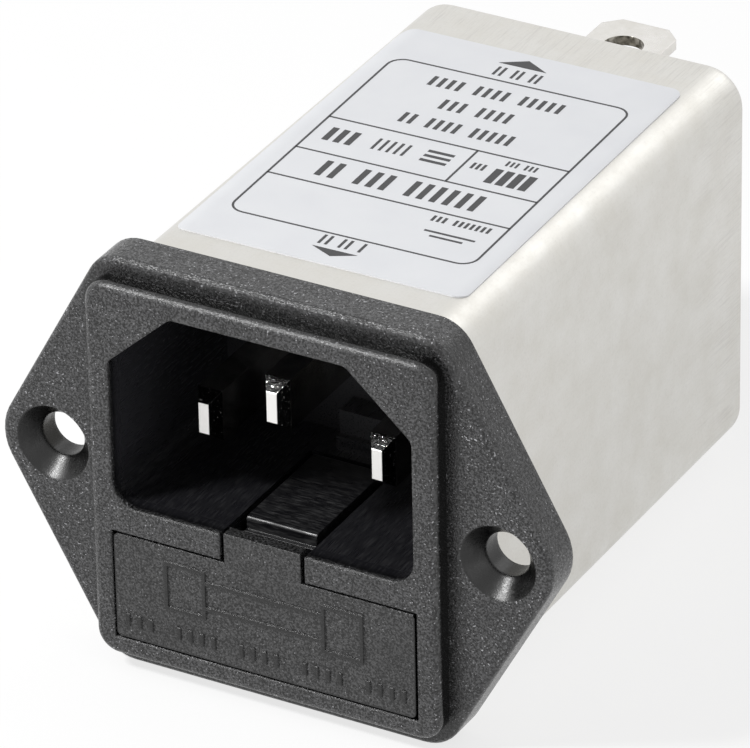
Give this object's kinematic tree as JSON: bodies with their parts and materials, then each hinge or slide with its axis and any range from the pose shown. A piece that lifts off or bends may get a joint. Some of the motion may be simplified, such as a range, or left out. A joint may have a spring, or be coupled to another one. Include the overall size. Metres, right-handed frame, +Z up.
{
  "type": "panel-mount emi line filter with mains inlet and fuse drawer",
  "caption": "Mains inlet with a flanged moulded front, a sliding fuse drawer and a line filter in a metal can with solder tabs at the back.",
  "frame": {"origin": "midway between the two panel screw holes, in the plane of the flange's back face", "axes": "+Z up in the usual mounting, +Y from the front of the inlet into the panel and along the can, +X to the right seen from the front"},
  "size_m": [0.0444, 0.0591, 0.0332],
  "materials": {
    "black_plastic": "black moulded thermoplastic with a fine grain",
    "drawer_plastic": "black moulded thermoplastic with a fine grain",
    "pin_metal": "nickel plated brass, smooth",
    "contact_metal": "plated spring bronze",
    "fuse_glass": "clear glass tube",
    "fuse_metal": "nickel plated brass",
    "tinned_steel": "tin plated drawn steel, satin",
    "label_film": "matt silver-white film with dark print",
    "terminal_plastic": "black moulded thermoplastic",
    "tab_metal": "tin plated brass, smooth",
    "board_laminate": "green coated laminate",
    "core_ferrite": "coated ferrite",
    "divider_plastic": "natural nylon",
    "winding_copper": "enamelled copper wire",
    "x_capacitor_case": "yellow moulded box",
    "y_capacitor_coat": "blue epoxy coat",
    "resistor_coat": "tan lacquer",
    "line_insulation": "brown wire insulation",
    "neutral_insulation": "blue wire insulation",
    "earth_insulation": "green wire insulation"
  },
  "bodies": {
    "housing": {"inlet_housing": "black_plastic", "line_pin": "pin_metal", "neutral_pin": "pin_metal", "earth_pin": "pin_metal", "line_fuse_contact": "contact_metal", "load_fuse_contact": "contact_metal", "case": "tinned_steel", "label": "label_film", "terminal_plate": "terminal_plastic", "line_terminal": "tab_metal", "neutral_terminal": "tab_metal", "earth_terminal": "tab_metal", "earth_rivet": "tab_metal", "circuit_board": "board_laminate", "choke_core": "core_ferrite", "choke_divider": "divider_plastic", "line_winding": "winding_copper", "neutral_winding": "winding_copper", "x_capacitor": "x_capacitor_case", "line_y_capacitor": "y_capacitor_coat", "neutral_y_capacitor": "y_capacitor_coat", "bleed_resistor": "resistor_coat", "fuse_bridge": "line_insulation", "line_lead": "line_insulation", "neutral_lead": "neutral_insulation", "earth_lead": "earth_insulation"},
    "drawer": {"fuse_drawer": "drawer_plastic", "fuse_tube": "fuse_glass", "fuse_cap_left": "fuse_metal", "fuse_cap_right": "fuse_metal", "fuse_wire": "fuse_metal"}
  },
  "joints": [
    {"name": "drawer_slide", "type": "slide", "parent": "housing", "child": "drawer", "axis": [0, -1, 0], "range_m": [0, 0.0155]}
  ]
}
